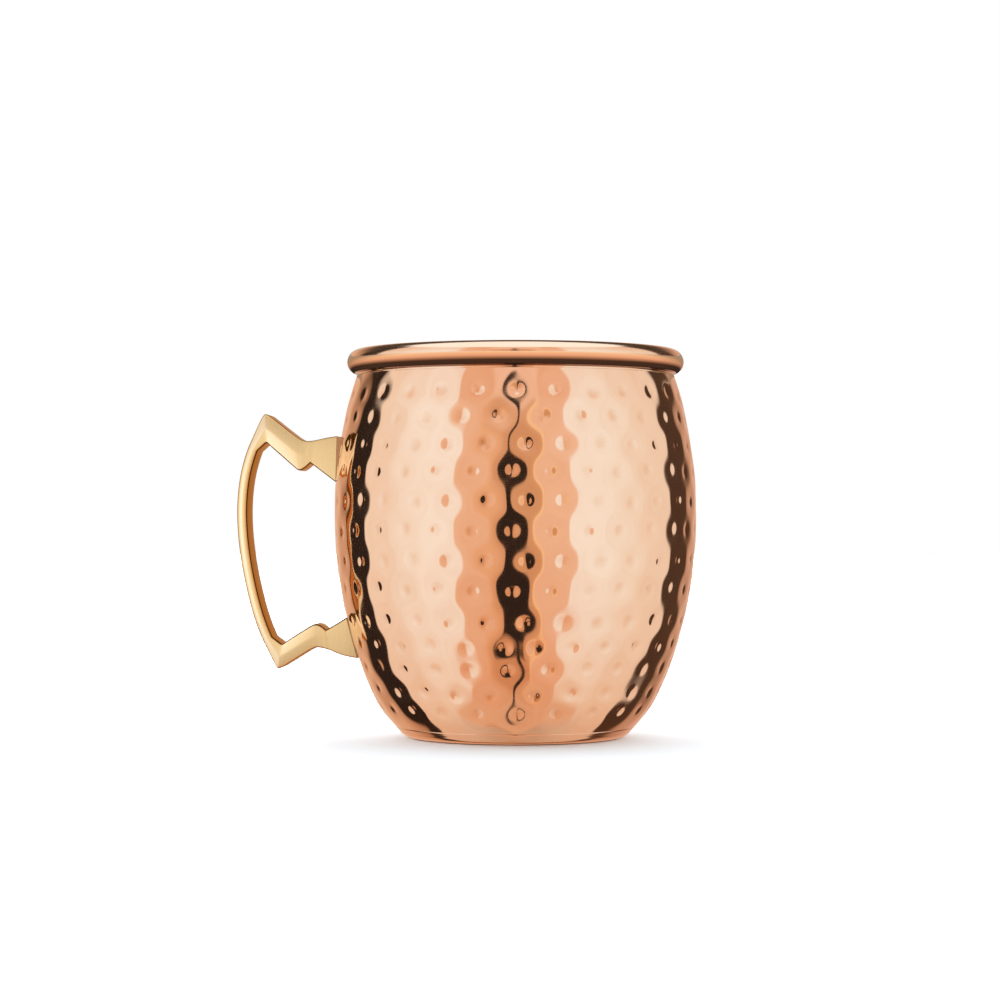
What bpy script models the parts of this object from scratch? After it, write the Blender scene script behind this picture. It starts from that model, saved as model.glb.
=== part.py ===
"""Copper mug: a barrel-shaped hammered cup with a cast brass handle.

Metres, +Z up. The origin is on the cup's axis, in the plane that the cup
stands on, and the handle is on the -X side. All the sizes below are in
millimetres, and MM turns them into metres where a mesh is made.
"""

import math

import bmesh
import bpy
import numpy as np
from mathutils import Matrix, Vector

MM = 0.001

# ---------------------------------------------------------------- sizes

SHEET = 0.9             # copper sheet of the barrel and of the base
GAP = 0.3               # clearance kept between pieces that touch
CUP_SIDES = 48          # facets round the cup
SMALL_SIDES = 16        # facets round a rivet and its holes

# The barrel's outer face, from the base seam to the rim: (height, radius).
SEAM_Z = 2.9
WALL_TOP_Z = 93.6
WALL_SHAPE = [
    (SEAM_Z, 30.9), (6.8, 34.2), (12.0, 37.05), (21.1, 40.75), (31.4, 43.6),
    (41.8, 45.55), (56.5, 46.55), (68.9, 46.05), (79.3, 44.45), (88.4, 42.45),
    (WALL_TOP_Z, 40.8),
]

# The rolled rim: round on the outside, and narrower on the inside.
RIM_CENTRE_R = 40.3
RIM_CENTRE_Z = 96.85
RIM_RADIUS = 3.15
RIM_INNER_WIDTH = 1.65  # from the rim's centre to its face inside the cup
RIM_START = 196         # degrees, where the barrel's sheet enters the roll
RIM_END = -66           # degrees, where the roll's edge comes to rest

# The base: a flat disc whose rim turns up inside the barrel.
FOOT_R = 26.4
FOOT_TURN = [(27.5, 0.35), (28.6, 0.95), (29.7, 1.75)]
LAP_TOP_Z = 6.6         # where the lap ends, on the barrel's outer face
FILLET_TOP_Z = 8.6

# The handle, in the plane through the cup's axis.
EDGE_Y = 5.0            # half of the handle's width, at its edges
CROWN = 0.6             # how far the ridge stands above the edges
BAR = 2.6               # thickness of the bar
BAR_SHAPE = [(83.4, -65.0), (73.3, -69.5), (61.5, -71.75), (50.0, -71.4), (37.9, -69.3),
             (27.0, -66.0), (17.5, -61.4)]
BAR_TOP_Z = 72.0
BAR_LOW_Z = 27.0
BAR_STEPS = 9

# Stations along the arms: (upper x, upper z), (lower x, lower z), share of the crown.
UPPER_ARM = [
    ((-42.0, 78.2), (-42.0, 62.6), 0.0),
    ((-48.7, 77.2), (-49.4, 68.2), 0.0),
    ((-52.6, 76.3), (-52.8, 70.7), 0.1),
    ((-54.8, 76.3), (-55.3, 68.7), 0.5),
    ((-56.8, 77.7), (-56.7, 69.5), 1.0),
    ((-62.6, 82.3), (-62.2, 74.1), 1.0),
    ((-65.0, 83.4), (-64.2, 76.0), 1.0),
]
LOWER_ARM = [
    ((-60.1, 23.9), (-61.4, 17.5), 1.0),
    ((-58.2, 25.3), (-58.6, 18.9), 1.0),
    ((-52.3, 28.9), (-52.1, 22.8), 1.0),
    ((-51.3, 29.2), (-50.6, 23.2), 0.5),
    ((-50.0, 28.7), (-49.6, 23.0), 0.1),
    ((-48.6, 27.5), (-48.0, 22.4), 0.0),
    ((-38.0, 33.6), (-38.0, 19.6), 0.0),
]

# Solder and rivets at the two feet.
SOLDER = 0.6            # thickness of the solder under a foot
SOLDER_PROUD = 0.5      # how far it shows round the foot
UPPER_RIVET_Z = 71.6
LOWER_RIVET_Z = 25.7
SHANK_R = 1.5
SHANK_IN_FOOT = 4.0
HEAD_R = 3.2
HEAD_EDGE = 0.4
HEAD_DOME = 1.1
HEAD_GAP = 0.45         # a flat head on a round wall needs more than GAP

COPPER = (0.80, 0.36, 0.20)
BRASS = (0.78, 0.52, 0.22)
SOLDER_COLOUR = (0.62, 0.42, 0.24)


# ---------------------------------------------------------------- outlines

def spline(knots):
    """A natural cubic spline through (t, value) knots, as a function of t."""
    knots = sorted(knots)
    t = np.array([k[0] for k in knots])
    v = np.array([k[1] for k in knots])
    h = np.diff(t)
    n = len(t)
    system = np.eye(n)
    right = np.zeros(n)
    for i in range(1, n - 1):
        system[i, i - 1:i + 2] = h[i - 1], 2 * (h[i - 1] + h[i]), h[i]
        right[i] = 6 * ((v[i + 1] - v[i]) / h[i] - (v[i] - v[i - 1]) / h[i - 1])
    bend = np.linalg.solve(system, right)

    def value(x):
        i = min(max(int(np.searchsorted(t, x)) - 1, 0), n - 2)
        a = (t[i + 1] - x) / h[i]
        b = (x - t[i]) / h[i]
        curved = (a ** 3 - a) * bend[i] + (b ** 3 - b) * bend[i + 1]
        return float(a * v[i] + b * v[i + 1] + curved * h[i] ** 2 / 6)

    return value


wall_r = spline(WALL_SHAPE)
bar_x = spline(BAR_SHAPE)


def slope(curve, z):
    """The curve's change per unit of z."""
    step = 0.05
    return (curve(z + step) - curve(z - step)) / (2 * step)


def wall_point(z, depth):
    """The (r, z) point at a depth inside the barrel's outer face at height z."""
    lean = slope(wall_r, z)
    length = math.hypot(1.0, lean)
    return (wall_r(z) - depth / length, z + depth * lean / length)


def wall_normal_angle(z):
    """How far the barrel's outward normal tips up from level, in radians."""
    return -math.atan(slope(wall_r, z))


def rim_points(radius, steps):
    """Points round the roll at a radius, from inside the cup, over the top, to its edge."""
    inner_width = RIM_INNER_WIDTH - (RIM_RADIUS - radius)
    points = []
    for i in range(steps + 1):
        angle = math.radians(RIM_START + (RIM_END - RIM_START) * i / steps)
        across = radius if math.cos(angle) > 0 else inner_width
        points.append((RIM_CENTRE_R + across * math.cos(angle), RIM_CENTRE_Z + radius * math.sin(angle)))
    return points


def barrel_outline():
    heights = [SEAM_Z, 4.6, 6.8, 9.8, 14.0, 21.1, 31.4, 43.0, 56.5, 68.9, 79.3, 87.0, 91.0]
    roll_steps = 12
    outer = [wall_point(z, 0.0) for z in heights + [WALL_TOP_Z]]
    inner = [wall_point(z, SHEET) for z in heights]
    roll_inside = rim_points(RIM_RADIUS - SHEET, roll_steps)
    roll_outside = rim_points(RIM_RADIUS, roll_steps)
    return outer + roll_inside + roll_outside[::-1] + inner[::-1]


def base_outline():
    seam_r, seam_z = wall_point(SEAM_Z, 0.0)
    lean = math.atan(slope(wall_r, SEAM_Z))
    down = (-GAP * math.sin(lean), -GAP * math.cos(lean))
    lap_depth = SHEET + GAP
    shoulder = wall_point(SEAM_Z, lap_depth)
    lap_heights = [4.2, 5.4, LAP_TOP_Z]
    outer = [(0.0, 0.0), (FOOT_R, 0.0)] + FOOT_TURN
    outer += [(seam_r + down[0], seam_z + down[1])]
    outer += [(shoulder[0] + down[0], shoulder[1] + down[1])]
    outer += [wall_point(z, lap_depth) for z in lap_heights]
    inner = [wall_point(z, lap_depth + SHEET) for z in [LAP_TOP_Z, 5.4, 4.2, SEAM_Z]]
    inner += [(28.2, 2.3), (FOOT_R, SHEET), (0.0, SHEET)]
    return outer + inner


def fillet_outline():
    low = LAP_TOP_Z + GAP
    return [wall_point(low, SHEET + GAP), wall_point(FILLET_TOP_Z, SHEET + GAP),
            wall_point(low + 0.5, 2 * SHEET + GAP), wall_point(low, 2 * SHEET + GAP)]


def band_outline(near, far, low, high):
    """A band that follows the barrel, between two distances outside it."""
    heights = np.linspace(low, high, 12)
    outer = [wall_point(z, -far) for z in heights]
    inner = [wall_point(z, -near) for z in heights]
    return outer + inner[::-1]


# ---------------------------------------------------------------- meshes

def finish(name, bm):
    """Make an object from a bmesh in millimetres, with its faces pointing out."""
    bmesh.ops.remove_doubles(bm, verts=bm.verts, dist=0.0001)
    bmesh.ops.recalc_face_normals(bm, faces=bm.faces)
    bmesh.ops.scale(bm, vec=(MM, MM, MM), verts=bm.verts)
    mesh = bpy.data.meshes.new(name)
    bm.to_mesh(mesh)
    bm.free()
    thing = bpy.data.objects.new(name, mesh)
    bpy.context.scene.collection.objects.link(thing)
    return thing


def revolve(name, outline, sides, place=Matrix()):
    """Turn a closed (r, z) outline about Z, then move it by a matrix."""
    bm = bmesh.new()
    columns = []
    for i in range(sides):
        angle = 2 * math.pi * i / sides
        column = []
        for r, z in outline:
            if r == 0.0 and columns:
                column.append(columns[0][len(column)])
            else:
                spot = Vector((r * math.cos(angle), r * math.sin(angle), z))
                column.append(bm.verts.new(place @ spot))
        columns.append(column)
    for i in range(sides):
        here = columns[i]
        there = columns[(i + 1) % sides]
        for j in range(len(outline)):
            k = (j + 1) % len(outline)
            corners = list(dict.fromkeys([here[j], here[k], there[k], there[j]]))
            if len(corners) > 2:
                bm.faces.new(corners)
    return finish(name, bm)


def box(name, low, high):
    bm = bmesh.new()
    bmesh.ops.create_cube(bm, size=1.0)
    for vert in bm.verts:
        for axis in range(3):
            vert.co[axis] = low[axis] if vert.co[axis] < 0 else high[axis]
    return finish(name, bm)


def guide(thing):
    """Mark an object as a cutter, which isn't part of the mug."""
    thing.hide_render = True
    thing.display_type = 'WIRE'
    return thing


def combine(thing, operation, cutter):
    modifier = thing.modifiers.new(cutter.name, 'BOOLEAN')
    modifier.operation = operation
    modifier.solver = 'EXACT'
    modifier.object = cutter


def material(name, colour, roughness):
    made = bpy.data.materials.new(name)
    made.use_nodes = True
    shader = made.node_tree.nodes["Principled BSDF"]
    shader.inputs["Base Color"].default_value = (*colour, 1.0)
    shader.inputs["Metallic"].default_value = 1.0
    shader.inputs["Roughness"].default_value = roughness
    made.diffuse_color = (*colour, 1.0)
    return made


def coat(thing, look, smooth_degrees=35):
    thing.data.materials.append(look)
    thing.data.shade_smooth()
    thing.data.set_sharp_from_angle(angle=math.radians(smooth_degrees))


# ---------------------------------------------------------------- handle

def bar_stations():
    """Stations down the bar, with its inner edge one bar thickness inside its outer edge."""
    stations = []
    for i in range(BAR_STEPS):
        z = BAR_TOP_Z + (BAR_LOW_Z - BAR_TOP_Z) * i / (BAR_STEPS - 1)
        lean = slope(bar_x, z)
        length = math.hypot(1.0, lean)
        inner = (bar_x(z) + BAR / length, z - BAR * lean / length)
        stations.append(((bar_x(z), z), inner, 1.0))
    return stations


def handle_stations():
    """(outer edge, inner edge, crown share) from the upper foot, round the bar, to the lower foot."""
    lower_arm = [(low, high, share) for high, low, share in LOWER_ARM]
    return UPPER_ARM + bar_stations() + lower_arm


def handle_mesh(name):
    """Join six-cornered sections: two edges and a ridge on each side face."""
    bm = bmesh.new()
    sections = []
    for outer, inner, share in handle_stations():
        ridge = ((outer[0] + inner[0]) / 2, (outer[1] + inner[1]) / 2)
        ridge_y = EDGE_Y + CROWN * share
        corners = [(outer, -EDGE_Y), (ridge, -ridge_y), (inner, -EDGE_Y),
                   (inner, EDGE_Y), (ridge, ridge_y), (outer, EDGE_Y)]
        sections.append([bm.verts.new((at[0], y, at[1])) for at, y in corners])
    for here, there in zip(sections, sections[1:]):
        for j in range(len(here)):
            k = (j + 1) % len(here)
            bm.faces.new([here[j], here[k], there[k], there[j]])
    bm.faces.new(sections[0])
    bm.faces.new(sections[-1][::-1])
    return finish(name, bm)


# ---------------------------------------------------------------- rivets

def rivet_place(z):
    """A frame on the barrel's outer face at the handle side, its Z pointing out of the wall."""
    tip = wall_normal_angle(z)
    outward = Vector((-math.cos(tip), 0.0, math.sin(tip)))
    turn = outward.to_track_quat('Z', 'Y').to_matrix().to_4x4()
    return Matrix.Translation((-wall_r(z), 0.0, z)) @ turn


def rivet(name, z):
    head_base = -(SHEET + HEAD_GAP)
    outline = [(0.0, SHANK_IN_FOOT), (SHANK_R, SHANK_IN_FOOT), (SHANK_R, head_base),
               (HEAD_R, head_base), (HEAD_R, head_base - HEAD_EDGE)]
    dome_steps = 3
    for i in range(1, dome_steps + 1):
        angle = math.pi / 2 * i / dome_steps
        radius = HEAD_R * math.cos(angle) if i < dome_steps else 0.0
        outline.append((radius, head_base - HEAD_EDGE - HEAD_DOME * math.sin(angle)))
    return revolve(name, outline, SMALL_SIDES, rivet_place(z))


def rivet_hole(name, z):
    """A cutter for the hole through the wall, the solder and into the foot."""
    outline = [(0.0, SHANK_IN_FOOT + GAP), (SHANK_R + GAP, SHANK_IN_FOOT + GAP),
               (SHANK_R + GAP, -3 * SHEET), (0.0, -3 * SHEET)]
    return guide(revolve(name, outline, SMALL_SIDES, rivet_place(z)))


# ---------------------------------------------------------------- mug

def foot_box(name, stations):
    """A block round a foot's end that is a little larger than the foot."""
    inside = stations[0]
    neck = stations[1]
    barrel_x = -wall_r((inside[0][1] + inside[1][1]) / 2)

    def edge_height(i):
        share = (barrel_x - inside[i][0]) / (neck[i][0] - inside[i][0])
        return inside[i][1] + share * (neck[i][1] - inside[i][1])

    top = edge_height(0) + SOLDER_PROUD
    low = edge_height(1) - SOLDER_PROUD
    side = EDGE_Y + SOLDER_PROUD
    return box(name, (barrel_x - 6.0, -side, low), (barrel_x + 6.0, side, top))


def build():
    for thing in list(bpy.data.objects):
        bpy.data.objects.remove(thing, do_unlink=True)

    copper = material("hammered_copper", COPPER, 0.12)
    plain_copper = material("plain_copper", COPPER, 0.18)
    brass = material("cast_brass", BRASS, 0.25)
    solder = material("solder", SOLDER_COLOUR, 0.35)

    upper_hole = rivet_hole("upper_hole_cutter", UPPER_RIVET_Z)
    lower_hole = rivet_hole("lower_hole_cutter", LOWER_RIVET_Z)
    foot_clearance = 2 * GAP + SOLDER
    cup_room = band_outline(-12.0, foot_clearance, 12.0, 88.0)
    handle_cutter = guide(revolve("handle_end_cutter", cup_room, CUP_SIDES))
    solder_shell = band_outline(GAP, GAP + SOLDER, 14.0, 86.0)
    solder_guide = guide(revolve("solder_shell_guide", solder_shell, CUP_SIDES))

    barrel = revolve("body_wall", barrel_outline(), CUP_SIDES)
    combine(barrel, 'DIFFERENCE', upper_hole)
    combine(barrel, 'DIFFERENCE', lower_hole)
    coat(barrel, copper)

    coat(revolve("base_pan", base_outline(), CUP_SIDES), plain_copper)
    coat(revolve("base_solder_ring", fillet_outline(), CUP_SIDES), solder)

    handle = handle_mesh("handle")
    combine(handle, 'DIFFERENCE', handle_cutter)
    combine(handle, 'DIFFERENCE', upper_hole)
    combine(handle, 'DIFFERENCE', lower_hole)
    coat(handle, brass, 15)

    upper_stations = UPPER_ARM
    lower_stations = LOWER_ARM[::-1]
    feet = [("upper", upper_stations, upper_hole, UPPER_RIVET_Z),
            ("lower", lower_stations, lower_hole, LOWER_RIVET_Z)]
    for place, stations, hole, rivet_z in feet:
        pad = foot_box(place + "_foot_solder", stations)
        combine(pad, 'INTERSECT', solder_guide)
        combine(pad, 'DIFFERENCE', hole)
        coat(pad, solder, 30)
        coat(rivet(place + "_rivet", rivet_z), plain_copper)


build()
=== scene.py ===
"""The looks of the copper mug: hammered wall, rolled rim, cast handle, solder, rivets, studio.

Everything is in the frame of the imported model, in metres: the origin is on the cup's axis in
the plane that the mug stands on, +Z is up and the handle is on the -X side. Sizes are given in
millimetres, and MM turns them into metres.
"""

import math
import random

import bmesh
import bpy
import numpy as np
from mathutils import Matrix, Vector


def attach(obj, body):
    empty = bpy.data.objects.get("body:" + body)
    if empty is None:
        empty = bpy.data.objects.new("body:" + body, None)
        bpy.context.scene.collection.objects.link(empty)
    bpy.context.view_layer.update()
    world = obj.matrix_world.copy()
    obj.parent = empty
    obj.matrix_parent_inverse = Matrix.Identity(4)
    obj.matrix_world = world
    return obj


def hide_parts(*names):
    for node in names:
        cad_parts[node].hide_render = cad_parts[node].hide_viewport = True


MM = 0.001
UP = (0.0, 0.0, 1.0)
FLAT = (1.0, 1.0, 0.0)

# ---------------------------------------------------------------- sizes of the mug

SHEET = 0.9
SEAM_Z = 2.9
WALL_TOP_Z = 93.6
WALL_SHAPE = [
    (SEAM_Z, 30.9), (6.8, 34.2), (12.0, 37.05), (21.1, 40.75), (31.4, 43.6),
    (41.8, 45.55), (56.5, 46.55), (68.9, 46.05), (79.3, 44.45), (88.4, 42.45),
    (WALL_TOP_Z, 40.8),
]
WALL_COLUMNS = 560      # mesh columns round the barrel
OUTER_SPACING = 0.5     # between its mesh rows
INNER_SPACING = 1.0
FIRST_ROW = 0.06        # a row so close to the lower edge keeps the edge's shading off the wall
INNER_DROP = 1.5        # the inner face stops this far below the outer one, under the rim's roll
INSIDE_SHARE = 0.8      # how much of the hammering shows inside the cup

RIM_CENTRE_R = 40.3
RIM_CENTRE_Z = 96.65    # 0.2 lower than the CAD's
RIM_RADIUS = 3.15
RIM_INNER_WIDTH = 1.65
ROLL_START = -78        # degrees round the rim's section, where the roll leaves the outer face
ROLL_END = 192          # and where it meets the inner face
ROLL_STEPS = 46

LAP_GAP = 0.12          # solder between the barrel and the base pan's lap inside it
SEAM_GAP = 0.05         # the crack that shows round the foot
FOOT_CUT = 1.9          # how far back the foot's corner is cut before it is rounded
FILLET = [  # height of each point of the base's solder, and its depth inside the barrel's inner face
    (6.75, 0.08), (7.6, 0.08), (8.5, 0.08), (8.45, 0.2), (7.8, 0.42), (7.25, 0.7),
    (6.75, SHEET + LAP_GAP),
]

EDGE_Y = 5.0            # half the handle's depth at its edges
CROWN = 0.6             # how much further its sides stand out along their ridge
BAR = 2.6               # the bar's thickness
BAR_SHAPE = [(83.4, -65.0), (73.3, -69.5), (61.5, -71.75), (50.0, -71.4), (37.9, -69.3),
             (27.0, -66.0), (17.5, -61.4)]
BAR_TOP_Z = 81.0        # the bar's outer edge is followed from here
BAR_LOW_Z = 20.0        # down to here, in BAR_STEPS steps,
BAR_STEPS = 39
BAR_INNER_TOP_Z = 75.2  # for as long as its inner edge is below this
BAR_INNER_LOW_Z = 24.6  # and above this

# How far back the handle's edges are cut on each side before they are rounded.
OUTER_ROUND = 0.55
INNER_ROUND = 0.75
RIDGE_ROUND = 0.5
LEAST_SHARE = 0.02      # least rounding of one edge of a station whose other edge is rounded

# The upper and lower end (x, z) of each foot's flat face, just inside its corners.
UPPER_FOOT_FACE = ((-45.93, 77.45), (-46.27, 65.95))
LOWER_FOOT_FACE = ((-43.45, 30.6), (-40.66, 20.45))
SOLDER_RECESS = 0.18    # how far the solder stays back from the foot's sides
SOLDER_IN_WALL = 0.25
SOLDER_IN_FOOT = 0.05

UPPER_RIVET_Z = 71.6
LOWER_RIVET_Z = 25.7
SHANK_LENGTH = 4.0      # from the barrel's outer face into the foot
SHANK_R = 1.5
SHANK_CHAMFER = 0.2
HEAD_R = 3.2
HEAD_CHAMFER = 0.1
HEAD_EDGE = 0.3         # height of the rivet head's edge, under its dome
HEAD_DOME = 1.2
HEAD_CLEARANCE = 0.28   # the head stands this far off the sheet, clear of the hammer marks

# The finish of each step of a rounded edge, going from the outer edge face over the side to the
# inner edge face.
# The third finish is brass painted dark brown along the edges' crests, a painted dark reflection.
BRUSHED, POLISHED, PAINTED_SHADE = range(3)
OUTER_STEPS = [POLISHED, PAINTED_SHADE, PAINTED_SHADE, POLISHED, BRUSHED]
INNER_STEPS = [BRUSHED, POLISHED, PAINTED_SHADE, PAINTED_SHADE, PAINTED_SHADE, POLISHED]
RIDGE_STEPS = [BRUSHED, BRUSHED, BRUSHED]

# ---------------------------------------------------------------- hammering

HAMMER_ROWS = [  # height of each row of dimples, and the turns of its front dimples in degrees
    (87.7, (0.5,)), (81.5, (-5.0, 8.5)), (74.5, (2.9,)), (68.0, (-1.2,)), (60.6, (2.9,)), (53.3, (-1.2,)),
    (46.0, (2.9,)), (38.8, (-1.2,)), (30.8, (2.9,)), (24.7, (-3.7, 6.5)), (19.2, (-2.4,)),
    (13.0, (-8.5, 6.9)), (8.1, (0.4,)),
]
FRONT_TURN = 22.0       # within this many degrees of straight ahead a blow keeps close to its place
FRONT_STRAY = 0.2
STRAY = 0.55
DIMPLE_PITCH = 9.5
DIMPLE_DEPTH = 0.24
DISH_CURVE = 0.030      # per millimetre, how sharply a dimple's dish is hollowed
BOWL_RADIUS = 1.95
BOWL_DEPTH = 0.22
BOWL_POWER = 1.9        # how sharply a bowl is hollowed
LAND_SHARPNESS = 8.0
LAND_SINK = 0.18        # how far the blows drive in the lands between them, which is taken back
BLOW_REACH = 7.0        # how far from its centre a blow is felt
NARROWEST_R = 30.0      # less than the barrel's smallest radius
FADE = 8.0              # the hammering fades in over this height from the seam, and out below the rim
FADE_LOW_Z = 3.0

# ---------------------------------------------------------------- camera

CAMERA_TURN = 3.5       # degrees round the mug, towards +X from -Y
CAMERA_DISTANCE = 680.0
CAMERA_HEIGHT = 55.2
FOCAL_LENGTH = 94.6
SENSOR_WIDTH = 36.0
YAW = 0.336             # degrees that the camera looks left of the mug's axis
PITCH = 0.50            # degrees that it looks up

# ---------------------------------------------------------------- floor and cards

FLOOR_RADIUS = 4000.0
FLOOR_DROP = 0.02       # the floor and the disc under the foot lie a little lower than the foot
CONTACT_DROP = 0.03
CONTACT_R = 27.4
# the dark disc under the foot is painted shadow, seen only in reflections
CONTACT_SHADOW = (0.05, 0.03, 0.02)
SOFTBOX_AHEAD = 26.0    # the handle's soft box, from the cup's axis
SOFTBOX_LEFT = -118.0
SOFTBOX_RIGHT = -43.5
SOFTBOX_LOW = 2.0
SOFTBOX_TOP = 100.0
FUNNEL = [(41.7, 93.6), (43.0, 93.7), (150.0, 123.3)]  # the (r, z) outline of the rim's reflector
THROAT_SHADE = (0.06, 0.035, 0.025)


# ---------------------------------------------------------------- curves

def spline(knots):
    """A natural cubic spline through (t, value) knots, as a function of an array of t."""
    knots = sorted(knots)
    t = np.array([k[0] for k in knots])
    v = np.array([k[1] for k in knots])
    h = np.diff(t)
    n = len(t)
    system = np.eye(n)
    right = np.zeros(n)
    for i in range(1, n - 1):
        system[i, i - 1:i + 2] = h[i - 1], 2 * (h[i - 1] + h[i]), h[i]
        right[i] = 6 * ((v[i + 1] - v[i]) / h[i] - (v[i] - v[i - 1]) / h[i - 1])
    bend = np.linalg.solve(system, right)

    def value(x):
        x = np.asarray(x, dtype=float)
        i = np.clip(np.searchsorted(t, x) - 1, 0, n - 2)
        a = (t[i + 1] - x) / h[i]
        b = (x - t[i]) / h[i]
        curved = (a ** 3 - a) * bend[i] + (b ** 3 - b) * bend[i + 1]
        return a * v[i] + b * v[i + 1] + curved * h[i] ** 2 / 6

    return value


wall_r = spline(WALL_SHAPE)
bar_x = spline(BAR_SHAPE)


def slope(curve, z):
    """How much a curve's value changes for each millimetre of height."""
    step = 0.05
    return (curve(z + step) - curve(z - step)) / (2 * step)


def wall_point(z, depth=0.0):
    """The (r, z) point at a depth inside the barrel's outer face at height z."""
    lean = float(slope(wall_r, z))
    length = math.hypot(1.0, lean)
    return (float(wall_r(z)) - depth / length, z + depth * lean / length)


def outline_run(heights):
    """Distance along the barrel's outline from the first of many close heights to each of them."""
    return np.concatenate([[0.0], np.cumsum(np.hypot(np.diff(wall_r(heights)), np.diff(heights)))])


def even_heights(low, high, spacing):
    """Heights between two limits that are evenly spaced along the barrel's outline."""
    fine = np.linspace(low, high, 2000)
    run = outline_run(fine)
    count = max(2, int(round(run[-1] / spacing)))
    return np.interp(np.linspace(0.0, run[-1], count + 1), run, fine)


# ---------------------------------------------------------------- mesh helpers

def add_object(name, data):
    """A new object of a mesh or a camera, in the scene."""
    thing = bpy.data.objects.new(name, data)
    bpy.context.scene.collection.objects.link(thing)
    return thing


def from_bmesh(name, bm, looks, smooth_degrees=None):
    """An object from a bmesh in millimetres, faces pointing out, with its materials."""
    bmesh.ops.recalc_face_normals(bm, faces=bm.faces)
    bmesh.ops.scale(bm, vec=(MM, MM, MM), verts=bm.verts)
    mesh = bpy.data.meshes.new(name)
    bm.to_mesh(mesh)
    bm.free()
    for look in looks:
        mesh.materials.append(look)
    mesh.shade_smooth()
    if smooth_degrees:
        mesh.set_sharp_from_angle(angle=math.radians(smooth_degrees))
    return add_object(name, mesh)


def grid_mesh(name, points, looks, slots, struck):
    """A closed tube-like skin from points[row, column, xyz]; rows and columns both close up.

    struck is how deep in a dimple's bowl each point is, from 0 to 1, for the material to read.
    """
    rows, columns = points.shape[:2]
    index = np.arange(rows * columns).reshape(rows, columns)
    after = np.roll(index, -1, axis=0)
    quads = np.stack([index, np.roll(index, -1, axis=1), np.roll(after, -1, axis=1), after], axis=-1)
    mesh = bpy.data.meshes.new(name)
    mesh.from_pydata((points.reshape(-1, 3) * MM).tolist(), [], quads.reshape(-1, 4).tolist())
    for look in looks:
        mesh.materials.append(look)
    mesh.polygons.foreach_set("material_index", np.repeat(slots, columns).astype(np.int32))
    mesh.attributes.new("struck", 'FLOAT', 'POINT').data.foreach_set("value", struck.ravel())
    mesh.shade_smooth()
    mesh.update()
    return add_object(name, mesh)


def revolve(name, outline, sides, looks, place=Matrix(), smooth_degrees=40):
    """Turn a closed (r, z) outline about Z, then move it by a matrix."""
    bm = bmesh.new()
    columns = []
    for i in range(sides):
        angle = 2 * math.pi * i / sides
        column = []
        for r, z in outline:
            if r == 0.0 and columns:
                column.append(columns[0][len(column)])
            else:
                spot = Vector((r * math.cos(angle), r * math.sin(angle), z))
                column.append(bm.verts.new(place @ spot))
        columns.append(column)
    for i in range(sides):
        here = columns[i]
        there = columns[(i + 1) % sides]
        for j in range(len(outline)):
            k = (j + 1) % len(outline)
            corners = list(dict.fromkeys([here[j], here[k], there[k], there[j]]))
            if len(corners) > 2:
                bm.faces.new(corners)
    return from_bmesh(name, bm, looks, smooth_degrees)


# ---------------------------------------------------------------- materials

class Nodes:
    """A short way to write a node tree."""

    def __init__(self, tree):
        self.tree = tree

    def add(self, kind, **settings):
        node = self.tree.nodes.new(kind)
        for key, value in settings.items():
            setattr(node, key, value)
        return node

    def link(self, source, target):
        self.tree.links.new(source, target)

    def feed(self, socket, value):
        if isinstance(value, bpy.types.NodeSocket):
            self.link(value, socket)
        else:
            socket.default_value = value

    def math(self, operation, *values):
        node = self.add("ShaderNodeMath", operation=operation)
        for socket, value in zip(node.inputs, values):
            self.feed(socket, value)
        return node.outputs[0]

    def both(self, first, second):
        """How far two conditions hold together, each from 0 to 1."""
        return self.math('MULTIPLY', first, second)

    def dot(self, vector, fixed):
        node = self.add("ShaderNodeVectorMath", operation='DOT_PRODUCT')
        self.link(vector, node.inputs[0])
        node.inputs[1].default_value = fixed
        return node.outputs["Value"]

    def scaled(self, vector, factors):
        node = self.add("ShaderNodeVectorMath", operation='MULTIPLY')
        self.link(vector, node.inputs[0])
        node.inputs[1].default_value = factors
        return node.outputs[0]

    def ramp(self, factor, stops):
        node = self.add("ShaderNodeValToRGB")
        elements = node.color_ramp.elements
        while len(elements) < len(stops):
            elements.new(0.5)
        for element, (place, colour) in zip(elements, stops):
            element.position = place
            element.color = (*colour, 1.0)
        self.link(factor, node.inputs[0])
        return node.outputs[0]

    def grey_ramp(self, factor, stops):
        return self.ramp(factor, [(place, (value,) * 3) for place, value in stops])

    def mix(self, factor, a, b, blend='MIX'):
        node = self.add("ShaderNodeMix", data_type='RGBA', blend_type=blend)
        self.feed(node.inputs["Factor"], factor)
        # The colour sockets share their names with the number and vector ones, so they go by place.
        for socket, value in ((node.inputs[6], a), (node.inputs[7], b)):
            if isinstance(value, tuple):
                value = (*value, 1.0)
            self.feed(socket, value)
        return node.outputs[2]

    def noise(self, vector, scale, detail, roughness):
        node = self.add("ShaderNodeTexNoise")
        self.link(vector, node.inputs["Vector"])
        node.inputs["Scale"].default_value = scale
        node.inputs["Detail"].default_value = detail
        node.inputs["Roughness"].default_value = roughness
        return node.outputs["Fac"]

    def map_range(self, value, low, high, to_low, to_high, smooth=False):
        node = self.add("ShaderNodeMapRange")
        node.interpolation_type = 'SMOOTHSTEP' if smooth else 'LINEAR'
        self.feed(node.inputs["Value"], value)
        for name, number in (("From Min", low), ("From Max", high), ("To Min", to_low), ("To Max", to_high)):
            node.inputs[name].default_value = number
        return node.outputs[0]

    def spread(self, noise, low, high):
        """Noise, which seldom leaves its middle, stretched to run between two values."""
        return self.map_range(noise, 0.3, 0.75, low, high)

    def length(self, vector):
        node = self.add("ShaderNodeVectorMath", operation='LENGTH')
        self.link(vector, node.inputs[0])
        return node.outputs["Value"]

    def bump(self, height, strength, distance):
        node = self.add("ShaderNodeBump")
        node.inputs["Strength"].default_value = strength
        node.inputs["Distance"].default_value = distance
        self.link(height, node.inputs["Height"])
        return node.outputs[0]


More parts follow.
